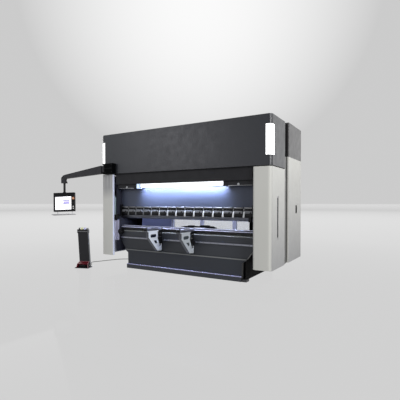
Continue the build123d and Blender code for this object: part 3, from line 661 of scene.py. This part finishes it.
# ---------------------------------------------------------------------------
# Lower fascia, lamp and end boxes
# ---------------------------------------------------------------------------
d = Build()
for sx in (-1, 1):
    x0, x1 = sorted((sx * 1052, sx * 1498))
    d.box(x0, x1, 97.5, 100.2, 1640.5, 1646, 0.8)
    d.screw((sx * 1250, 100, 1664), (0, -1, 0), 13, 7)
    d.lathe((sx * 1250, 100.2, 1664), (0, -1, 0), [(20, 0), (20, 2.0), (18, 2.6)], 28)
d.make("end_box_lips", SCREW_ZN, "machine", "tool_steel")
d = Build()
for sx in (-1, 1):
    x0, x1 = (958, 1049.5) if sx > 0 else (-1049.5, -992)
    d.box(x0, x1, 101, 187, 1641, 1727.5, 1.5)
d.make("lamp_end_sleeves", RECESS, "machine", "dark_recess")
d = Build()
d.box(-991.5, -914, 103, 187, 1636, 1727, 2.5)
d.make("lamp_end_cap", LAMP_END, "machine", "lamp_cover")
d = Build()
d.box(-913.5, -890, 104, 187, 1644, 1727, 1.5)
d.make("lamp_end_seal", plastic("lamp_end_seal", rgb(120, 136, 190), (0.4, 0.5)), "machine", "lamp_cover")
d = Build()
d.box(-888, 957, 107, 111, 1722, 1727.5, 1)
d.make("lamp_housing_strip", CLAMP_LIT, "machine", "tool_steel")
d = Build()
for i in range(8):
    x = -1400 + i * 400
    d.screw((x, 60, 1740), (0, -1, 0), 5, 3)
d.make("fascia_screws", SCREW, "machine", "dark_recess")

# ---------------------------------------------------------------------------
# Side doors: grips in their slots; rear cabinets: latches, hinges
# ---------------------------------------------------------------------------
for sx, side, bodyname in ((1, "right", "door_right"), (-1, "left", "door_left")):
    g = Build()
    xo, xi = sx * 1859.5, sx * 1852
    x0, x1 = sorted((xo, xi))
    g.box(x0, x1, 272, 358, 750, 1456, 3)
    g.make("door_grip_" + side, GREY, bodyname, "light_cover")
    g = Build()
    x0, x1 = sorted((sx * 1853, sx * 1861.5))
    g.box(x0, x1, 296, 334, 772, 1434, 3)
    g.make("door_grip_slot_" + side, SEAM, bodyname, "dark_recess")
for sx in (1, -1):
    nm = "right" if sx > 0 else "left"
    g = Build()
    x0, x1 = sorted((sx * 1846, sx * 1857.5))
    g.box(x0, x1, 1430, 1546, 1140, 1300, 4)
    g.make("cabinet_latch_plate_" + nm, GAP, "machine", "gauge_paint")
    g = Build()
    x0, x1 = sorted((sx * 1856, sx * 1861))
    g.box(x0, x1, 1458, 1518, 1164, 1252, 3)
    g.lathe((sx * 1857, 1488, 1276), (sx, 0, 0), [(12, 0), (12, 3.5), (9, 4.5), (4, 4.5), (4, 2.5)], 24)
    g.make("cabinet_latch_" + nm, GAP, "machine", "tool_steel")

# guide strips, sensor blocks and conduits on the inner guard plates
g, h, k_ = Build(), Build(), Build()
g.box(-1533, -1518, 44, 66, 1104, 1470, 2)
g.box(-1530, -1521, 40, 44, 1112, 1290, 1.5)
h.box(-1535, -1515, 30, 74, 984, 1098, 5, 3)
h.lathe((-1524, 30, 1040), (0, -1, 0), [(8, 0), (8, 2), (6, 3), (5, 3), (5, 1)], 24)
k_.box(-1514.5, -1508, 88, 150, 566, 992, 2.5)
k_.box(-1533, -1516, 44, 84, 566, 980, 3)
k_.rod((-1503, 116, 566), (0, 0, 1), 10, 136, 2)
k_.box(-1514.5, -1494, 104, 128, 700, 712, 1.5)
g.make("guard_guide_strips", GUIDE, "machine", "gauge_paint")
h.make("guard_sensor_blocks", BLACK, "machine", "gauge_paint")
k_.make("guard_conduits", CONDUIT, "machine", "gauge_paint")

# rear side: cabinet doors, vents, window frames
d = Build()
seam = Build()
for sx in (1, -1):
    x0, x1 = sorted((sx * 1338, sx * 1832))
    d.box(x0, x1, 1820.0, 1822.6, 292, 2150, 1.0)
    for kz in (480, 1220, 1960):
        d.rod((sx * 1842, 1817.5, kz - 35), (0, 0, 1), 6, 70, 1)
d.make("cabinet_rear_doors", COVER, "machine", "light_cover")
d = Build()
for sx in (1, -1):
    for k in range(12):
        z = 470 + k * 22
        x0, x1 = sorted((sx * 1450, sx * 1720))
        d.prism([(1822.2, z), (1822.2, z + 12), (1824, z + 2)], "x", x0, x1, 0.4, 1)
d.make("cabinet_louvres", COVER, "machine", "light_cover")
d = Build()
for cx in (-1150, 0, 1150):
    for k in range(14):
        z = 2330 + k * 24
        d.prism([(1820.8, z), (1820.8, z + 13), (1824, z + 2)], "x", cx - 260, cx + 260, 0.5, 1)
d.make("rear_louvres", REAR, "machine", "rear_housing")
d = Build()
for sx in (1, -1):
    d.box(*sorted((sx * 1352, sx * 1376)), 1815, 1820.9, 1180, 1330, 2)
d.make("cabinet_rear_latches", BLACK, "machine", "gauge_paint")
d = Build()
POSTS = (-1258.0, -419.0, 419.0, 1258.0)
for i in range(3):
    a, b = POSTS[i] + 40, POSTS[i + 1] - 40
    for (x0, x1, z0, z1) in ((a, a + 14, 200, 2090), (b - 14, b, 200, 2090), (a + 14, b - 14, 200, 214), (a + 14, b - 14, 2076, 2090)):
        d.box(x0, x1, 1751, 1767, z0, z1, 1.5, 1)
d.make("window_seals", SEAL, "machine", "dark_recess")
d = Build()
for i in range(3):
    xm = (POSTS[i] + POSTS[i + 1]) / 2
    d.tube([(xm - 70, 1767, 1180), (xm - 70, 1786, 1180), (xm - 62, 1794, 1180), (xm + 62, 1794, 1180), (xm + 70, 1786, 1180), (xm + 70, 1767, 1180)], 6, 12)
d.make("window_handles", BLACK, "machine", "gauge_paint")
d = Build()
for px in POSTS:
    for z in (260, 700, 1140, 1580, 2020):
        d.screw((px, 1785, z), (0, 1, 0), 6, 4)
for sx in (1, -1):
    for sy in (1000, 1770):
        for z in (2230, 2750):
            d.screw((sx * 1859, sy, z), (sx, 0, 0), 5, 2.5)
    for z in (300, 900, 1560, 2130):
        d.screw((sx * 1859, 985, z), (sx, 0, 0), 5, 2.5)
        d.screw((sx * 1859, 1790, z), (sx, 0, 0), 5, 2.5)
d.make("cover_screws", SCREW, "machine", "dark_recess")
# lifting plugs on the roof
d = Build()
for sx in (1, -1):
    for (y, z) in ((230, 2764), (520, 2764), (1150, 2796.5), (1620, 2796.5)):
        d.lathe((sx * 1250, y, z), (0, 0, 1), [(34, 0), (34, 1.4), (30, 2.4), (12, 2.4), (12, 1.2)], 32)
d.make("lifting_plugs", BLACK, "machine", "gauge_paint")

# ---------------------------------------------------------------------------
# Sheet supports
# ---------------------------------------------------------------------------
def rounded(y0, y1, z0, z1, r, n=6):
    out = []
    for cy, cz, a0 in ((y1 - r, z1 - r, 0), (y0 + r, z1 - r, 90), (y0 + r, z0 + r, 180), (y1 - r, z0 + r, 270)):
        for k in range(n + 1):
            t = math.radians(a0 + 90.0 * k / n)
            out.append((cy + r * math.cos(t), cz + r * math.sin(t)))
    return out


for nm, xr in (("left", -425.0), ("right", 311.0)):
    bodyname = "support_" + nm
    # dark plates inside the pockets: painted shade
    s = Build()
    s.prism(rounded(-159.4, 7.4, 690.6, 751.4, 23.4), "x", xr - 52, xr - 7)
    s.prism([(-68.6, 629.4), (15.4, 629.4), (41.0, 578.4), (4.6, 561.0)], "x", xr - 52, xr - 7)
    s.make("support_pocket_shade_plates_" + nm, POCKET_L if nm == "left" else POCKET_R, bodyname, "support_paint")
    s = Build()
    for y in (-225, -150, -60, 30):
        s.screw((xr - 74, y, 802), (0, 0, -1), 5.5, 4)
    for (y, z) in ((120, 510), (150, 470), (120, 450)):
        s.screw((xr, y, z), (1, 0, 0), 6, 4)
    s.screw((xr, 90, 760), (1, 0, 0), 7, 4)
    s.screw((xr, 150, 760), (1, 0, 0), 7, 4)
    s.screw((xr, 90, 690), (1, 0, 0), 7, 4)
    s.screw((xr, 150, 690), (1, 0, 0), 7, 4)
    s.make("support_screws_" + nm, SCREW_ZN, bodyname, "tool_steel")
    s = Build()
    s.box(xr - 88, xr - 1, -273.5, -269, 822, 864, 2)
    s.box(xr - 70, xr - 19, -262, -214, 866, 872, 2)
    s.prism([(-240, 872), (-214, 872), (-214, 884), (-232, 884)], "x", xr - 60, xr - 29, 1.5)
    s.make("support_arm_stop_" + nm, BLACK, bodyname, "gauge_paint")
    s = Build()
    s.rod((xr, 122, 590), (1, 0, 0), 13, 10, 1.5)
    s.tube([(xr + 8, 122, 590), (xr + 20, 118, 584), (xr + 34, 96, 566), (xr + 44, 74, 548)], 5.5)
    s.lathe((xr + 42, 78, 551), (0.42, -0.75, -0.6), [(5, 0), (9, 6), (11, 22), (9, 34), (4, 38)], 20)
    s.make("support_clamp_lever_" + nm, BLACK, bodyname, "gauge_paint")

# ---------------------------------------------------------------------------
# Back gauge
# ---------------------------------------------------------------------------
d = Build()
for xc in (-80.0, 420.0):
    d.box(xc - 42, xc + 42, 500.5, 505.5, 842, 880, 1.5)
    d.rod((xc + 40, 780, 812), (1, 0, 0), 22, 26, 2)
    d.box(xc - 24, xc + 24, 560, 690, 858, 866, 2)
    for y in (590, 660):
        d.screw((xc, y, 866), (0, 0, 1), 7, 5)
    d.rod((xc - 58, 740, 830), (0, 0, 1), 10, 34, 2)
d.make("gauge_finger_parts", BLACK, "back_gauge", "tool_steel")
d = Build()
d.prism([(-190, 866), (-190, 878), (-60, 884), (100, 893), (260, 893), (400, 889), (560, 878), (560, 866)], "y", 524, 536, 1.5)
d.prism([(-42, 862), (-42, 884), (-22, 900), (112, 904), (130, 892), (130, 862)], "y", 520, 540, 2)
d.prism([(240, 868), (240, 896), (268, 912), (452, 914), (470, 898), (470, 868)], "y", 520, 540, 2)
d.prism([(470, 872), (470, 898), (548, 898), (566, 884), (612, 874), (612, 860), (560, 866)], "y", 522, 538, 2)
d.make("gauge_stop_bar", BLACK, "back_gauge", "gauge_paint")
d = Build()
for i in range(22):
    d.screw((-1100 + i * 104.7, 760, 745), (0, -1, 0), 5, 4)
d.make("gauge_beam_screws", SCREW, "back_gauge", "gauge_paint")
d = Build()
for sx in (-1, 1):
    d.rod((sx * 1000, 275, 600), (0, 1, 0), 9, 1285, 1)
    d.box(sx * 1000 - 10, sx * 1000 + 10, 276, 1559, 639.5, 644, 1)
d.make("gauge_guide_strips", STEEL, "machine", "tool_steel")

# ---------------------------------------------------------------------------
# Laser heads on the ram
# ---------------------------------------------------------------------------
d = Build()
e = Build()
for sx in (-1, 1):
    xc = sx * 1477.5
    d.box(xc - 24, xc + 24, 36, 94, 1026, 1114, 5, 3)
    d.box(xc - 18, xc + 18, 94, 102, 1060, 1108, 2)
    e.rod((xc - sx * 24, 62, 1058), (-sx, 0, 0), 13, 3, 1)
    e.rod((xc - sx * 24, 62, 1092), (-sx, 0, 0), 7, 2, 0.6)
d.make("laser_head_shells", BLACK, "ram", "gauge_paint")
e.make("laser_head_lenses", LENS, "ram", "gauge_paint")

# ---------------------------------------------------------------------------
# Control arm and bracket
# ---------------------------------------------------------------------------
d = Build()
for x in (-1662, -1486):
    for z in (1978, 2129):
        d.screw((x, -98, z), (0, -1, 0), 8, 4)
d.box(-1682, -1466, -101, -97.5, 2052, 2056, 1)
d.make("bracket_screws", SCREW, "machine", "dark_recess")
ARMM = Matrix.Translation((-1736, -52, 0)) @ Matrix.Rotation(math.radians(195), 4, "Z")
d = Build(ARMM)
for sy in (-1, 1):
    for (s_, z) in ((84, 2096), (84, 1972), (800, 1950), (966, 1900), (966, 1800)):
        d.screw((s_, sy * 42, z), (0, sy, 0), 6, 3)
d.make("arm_screws", SCREW, "arm", "arm_paint")
d = Build(ARMM)
d.box(1003, 1022, -38, 38, 1774, 1880, 4, 3)
d.lathe((966, 0, 1770), (0, 0, -1), [(32, -2), (32, 4), (28, 7), (18.5, 7), (18.5, 3)], 32)
d.make("arm_end_cap", RECESS, "arm", "arm_paint")

# ---------------------------------------------------------------------------
# Control panel
# ---------------------------------------------------------------------------
PZ, PW, PH, PT = 1360.0, 442.0, 407.0, 66.0
ang = math.radians(195)
POLE = (-1736 + 966 * math.cos(ang), -52 + 966 * math.sin(ang))
PANELM = (Matrix.Translation((POLE[0], POLE[1], 0)) @ Matrix.Rotation(math.radians(36), 4, "Z")
          @ Matrix.Translation((0, 0, PZ)) @ Matrix.Rotation(math.radians(-6.5), 4, "X") @ Matrix.Rotation(math.radians(-2.1), 4, "Y") @ Matrix.Translation((0, 0, -PZ)))
FY = -PT / 2
X0, X1, Z0, Z1 = -186.0, 147.0, -165.0, 118.0
d = Build(PANELM)
for (x0, x1, z0, z1) in ((X0 - 9, X1 + 9, PZ + Z1, PZ + Z1 + 9), (X0 - 9, X1 + 9, PZ + Z0 - 9, PZ + Z0), (X0 - 9, X0, PZ + Z0, PZ + Z1), (X1, X1 + 9, PZ + Z0, PZ + Z1)):
    d.box(x0, x1, FY - 3, FY + 3, z0, z1, 1.2)
d.box(-PW / 2 + 6, PW / 2 - 6, FY - 2.5, FY + 1, PZ + 140, PZ + 197, 2)
d.make("screen_bezel", BLACK, "panel", "panel_case")
d = Build(PANELM)
for z in (31, -31):
    d.box(-22, 112, FY + 0.2, FY + 1.2, PZ + z - 9, PZ + z + 9, 0.3, 1)
d.make("screen_bars", SCREEN_BAR, "panel", "panel_display")
d = Build(PANELM)
d.box(-12, 112, FY + 0.2, FY + 1.2, PZ - 21, PZ + 14, 0.3, 1)
d.make("screen_field", SCREEN_FIELD, "panel", "panel_display")
d = Build(PANELM)
for z in (31, -31):
    d.box(-122, -92, FY + 0.2, FY + 1.2, PZ + z - 8, PZ + z + 8, 0.3, 1)
d.make("screen_marks", SCREEN_MARK, "panel", "panel_display")
d = Build(PANELM)
d.box(-180, -112, FY + 0.2, FY + 1.2, PZ + 104, PZ + 116, 0.3, 1)
d.box(-112, -20, FY + 0.2, FY + 1.2, PZ + 111, PZ + 116, 0.3, 1)
d.make("screen_header", SCREEN_HEAD, "panel", "panel_display")
d = Build(PANELM)
d.lathe((190, FY, PZ + 75), (0, -1, 0), [(30, -1), (30, 3), (28, 5), (20, 5)], 40)
d.make("stop_ring", RING, "panel", "panel_controls", "panel_buttons")
d = Build(PANELM)
d.lathe((190, FY - 4, PZ + 75), (0, -1, 0), [(12, 0), (12, 8), (17, 10), (21, 13), (22, 18), (20, 23), (14, 26), (5, 26.5)], 40)
d.make("stop_mushroom", RED, "panel", "panel_controls")
d = Build(PANELM)
for bz, r in ((-104, 15), (-143, 15)):
    d.lathe((190, FY, PZ + bz), (0, -1, 0), [(r - 2, -1), (r - 2, 7), (r - 3.5, 9), (r - 6, 9.6)], 32)
d.make("panel_white_buttons", WHITE, "panel", "panel_controls")
d = Build(PANELM)
for bz, r in ((-24, 17), (-104, 17), (-143, 17)):
    d.lathe((190, FY, PZ + bz), (0, -1, 0), [(r, -1), (r, 2.5), (r - 1.2, 4), (r - 3, 4), (r - 3, 1)], 32)
d.lathe((190, FY, PZ - 24), (0, -1, 0), [(13, -1), (13, 8), (11, 10), (4, 10.5)], 32)
d.lathe((190, FY - 30, PZ + 75), (0, -1, 0), [(6, -1), (6, 1), (4, 1.4)], 24)
d.make("panel_button_rings", DARK_BTN, "panel", "panel_controls")
d = Build(PANELM)
for k in range(11):
    x = -150 + k * 30
    d.box(x - 2.5, x + 2.5, PT / 2 - 1, PT / 2 + 8, PZ - 120, PZ + 120, 1.2)
d.box(-170, 170, PT / 2 - 1, PT / 2 + 2, PZ - 140, PZ + 140, 2)
for sx in (-1, 1):
    for sz in (-1, 1):
        d.screw((sx * 206, PT / 2, PZ + sz * 190), (0, 1, 0), 5, 3)
        d.screw((sx * 212, -PT / 2, PZ + sz * 195), (0, -1, 0), 3.5, 1.5)
d.make("panel_back_fins", CASE, "panel", "panel_case")

# ---------------------------------------------------------------------------
# Pedal station
# ---------------------------------------------------------------------------
PEDM = Matrix.Translation((-2026, -391, 0)) @ Matrix.Rotation(math.radians(20), 4, "Z")
lean = math.tan(math.radians(3.6))
dx = -lean * 693.0
d = Build(PEDM)
d.box(dx - 119, dx + 108, 102.5, 105, 746, 753, 0.8)
d.make("station_lip", GREY, "machine", "station_paint")
d = Build(PEDM)
d.lathe((dx - 88, 134, 791), (0, 0, 1), [(17, 0), (17, 4), (13, 6), (13, 26), (11, 30), (9, 35)], 28)
d.make("station_selector", DARK_BTN, "machine", "station_controls", "station_buttons")
d = Build(PEDM)
d.lathe((dx - 32, 138, 791), (0, 0, 1), [(31, 0), (31, 8), (29, 12), (18, 12)], 36)
d.make("station_stop_ring", YELLOW, "machine", "station_controls")
d = Build(PEDM)
d.lathe((dx - 32, 138, 801), (0, 0, 1), [(14, 0), (14, 12), (24, 16), (27, 22), (25, 28), (14, 31)], 36)
d.make("station_stop", LIME, "machine", "station_controls")
d = Build(PEDM)
d.lathe((dx + 38, 138, 791), (0, 0, 1), [(31, 0), (31, 10), (28, 14), (20, 14), (20, 34), (18, 38), (8, 39)], 36)
d.make("station_start", VIOLET, "machine", "station_controls")
d = Build(PEDM)
d.box(dx + 78, dx + 106, 118, 158, 791, 822, 4, 3)
d.make("station_box", GREY, "machine", "station_controls")
d = Build(PEDM)
for z in (80, 360, 660):
    off = -lean * (z - 22)
    for sx in (-1, 1):
        d.screw((off + sx * 94, 162, z), (0, 1, 0), 4.5, 2.5)
for (x, y) in ((-150, 75), (-150, 158)):
    d.screw((x, y, 22), (0, 0, 1), 6, 4)
d.make("station_screws", SCREW, "machine", "station_paint")
d = Build(PEDM)
for k in range(6):
    y = 36 + k * 8
    z = 54 + (y - 30) * (8.0 / 52.0)
    d.box(-66, 66, y - 2, y + 2, z - 1.5, z + 1.8, 0.8, 1)
d.make("pedal_ribs", RUBBER, "pedal", "black_rubber")
# pale beads round the hood's front opening, a painted highlight, and the axle's end caps
d = Build(PEDM)
for sx in (-1, 1):
    d.tube([(sx * 131, 1, 14), (sx * 118, 14, 88), (sx * 110.6, 96, 127)], 2.6, 10)
d.tube([(-108, 99, 125), (108, 99, 125)], 4.6, 12)
d.make("hood_edge_highlight_beads", HOOD_EDGE_HIGHLIGHT, "machine", "hood_red")
d = Build(PEDM)
for sx in (-1, 1):
    d.lathe((sx * 118, 88, 52), (sx, 0, 0), [(13, -4), (13, 6), (10, 8), (5, 8)], 28)
d.make("pedal_axle_caps", GREY, "machine", "station_paint")

# ---------------------------------------------------------------------------
# Floor and light
# ---------------------------------------------------------------------------
def floor_material():
    """Plain pale floor that gets darker far away from the machine."""
    m = bpy.data.materials.new("studio_floor")
    nt, p = nodes_of(m)
    tc = nt.nodes.new("ShaderNodeTexCoord")
    ln = nt.nodes.new("ShaderNodeVectorMath")
    ln.operation = "LENGTH"
    nt.links.new(tc.outputs["Object"], ln.inputs[0])
    t = ranged(nt, ln.outputs["Value"], 0.0, 1.0, 8.0, 60.0)
    tone = vary(nt, t, (0.62, 0.62, 0.62, 1), (0.22, 0.22, 0.22, 1))
    grain = ranged(nt, noise(nt, tc.outputs["Object"], 2.5, 2.0), 0.045, 0.05)
    nt.links.new(grain, p.inputs["Roughness"])
    p.inputs["Base Color"].default_value = (0.008, 0.008, 0.008, 1)
    p.inputs["IOR"].default_value = 1.02
    nt.links.new(tone, p.inputs["Emission Color"])
    p.inputs["Emission Strength"].default_value = 1.0
    return m


me = bpy.data.meshes.new("floor")
R = 300.0
me.from_pydata([(-R, -R, 0), (R, -R, 0), (R, R, 0), (-R, R, 0)], [], [(0, 1, 2, 3)])
me.materials.append(floor_material())
floor = bpy.data.objects.new("floor", me)
scene.collection.objects.link(floor)
floor.visible_diffuse = False


def area(name, loc, target, sx, sy, power, col=(1, 1, 1), spread=180):
    li = bpy.data.lights.new(name, "AREA")
    li.shape = "RECTANGLE"
    li.size, li.size_y = sx, sy
    li.energy = power
    li.color = col
    li.spread = math.radians(spread)
    ob = bpy.data.objects.new(name, li)
    scene.collection.objects.link(ob)
    ob.location = loc
    ob.rotation_euler = (Vector(target) - Vector(loc)).to_track_quat("-Z", "Y").to_euler()
    return ob


area("key_right", (8.0, -3.6, 3.6), (0.8, 0.0, 1.4), 3, 3, 540)
area("side_right", (6.2, 2.2, 4.6), (1.86, 0.6, 2.2), 2.5, 2.5, 40)
area("side_left", (-6.5, 1.0, 4.2), (-1.86, 0.4, 1.8), 2.5, 2.5, 120)
area("front_left", (-4.5, -7.0, 4.0), (-0.2, 0, 1.6), 3, 3, 120, (0.92, 0.94, 1.0)).data.specular_factor = 0.1
area("lamp_down_left", (-0.46, -0.112, 1.650), (-0.46, 0.748, 0.697), 0.90, 0.05, 13, (0.60, 0.70, 1.0), 112)
area("lamp_down", (0.03, -0.112, 1.650), (0.03, 0.748, 0.697), 1.84, 0.05, 36, (0.60, 0.70, 1.0), 112)
area("lamp_back", (-0.10, -0.0615, 1.676), (-0.10, 0.4, 1.52), 1.58, 0.04, 9.0, (0.86, 0.91, 1.0), 150)
area("rear_lamp", (0, 0.60, 2.12), (0, 0.60, 0.5), 2.2, 0.12, 26, (0.66, 0.74, 1.0), 170)

world = bpy.data.worlds.new("studio")
scene.world = world
world.use_nodes = True
nt = world.node_tree
bg = nt.nodes["Background"]
tc = nt.nodes.new("ShaderNodeTexCoord")
dot = nt.nodes.new("ShaderNodeVectorMath")
dot.operation = "DOT_PRODUCT"
dot.inputs[1].default_value = Vector((-0.4387, 0.7466, 0.5)).normalized()
nt.links.new(tc.outputs["Generated"], dot.inputs[0])
spot = ranged(nt, dot.outputs["Value"], 0.0, 1.0, 0.91, 1.0)
wall = vary(nt, spot, (0.60, 0.60, 0.60, 1), (0.96, 0.96, 0.96, 1))
below = ranged(nt, split(nt, tc.outputs["Generated"])["Z"], 1.0, 0.0, -0.03, 0.0)
col = vary(nt, below, (0.62, 0.62, 0.62, 1), (0.62, 0.62, 0.62, 1))
nt.links.new(wall, col.node.inputs["A"])
dot2 = nt.nodes.new("ShaderNodeVectorMath")
dot2.operation = "DOT_PRODUCT"
dot2.inputs[1].default_value = Vector((0.46, 0.88, 0.10)).normalized()
nt.links.new(tc.outputs["Generated"], dot2.inputs[0])
side = ranged(nt, dot2.outputs["Value"], 0.0, 1.0, 0.90, 0.99)
mx = nt.nodes.new("ShaderNodeMix")
mx.data_type = "RGBA"
mx.inputs["B"].default_value = (1.9, 1.9, 1.9, 1)
nt.links.new(col, mx.inputs["A"])
nt.links.new(side, mx.inputs["Factor"])
dot3 = nt.nodes.new("ShaderNodeVectorMath")
dot3.operation = "DOT_PRODUCT"
dot3.inputs[1].default_value = Vector((0.55, -0.83, 0.05)).normalized()
nt.links.new(tc.outputs["Generated"], dot3.inputs[0])
front = ranged(nt, dot3.outputs["Value"], 0.0, 1.0, 0.1, 0.9)
mx2 = nt.nodes.new("ShaderNodeMix")
mx2.data_type = "RGBA"
mx2.inputs["B"].default_value = (0.34, 0.34, 0.345, 1)
nt.links.new(mx.outputs["Result"], mx2.inputs["A"])
nt.links.new(front, mx2.inputs["Factor"])
nt.links.new(mx2.outputs["Result"], bg.inputs["Color"])
bg.inputs["Strength"].default_value = 1.0

scene.view_settings.view_transform = "Standard"
scene.view_settings.look = "None"
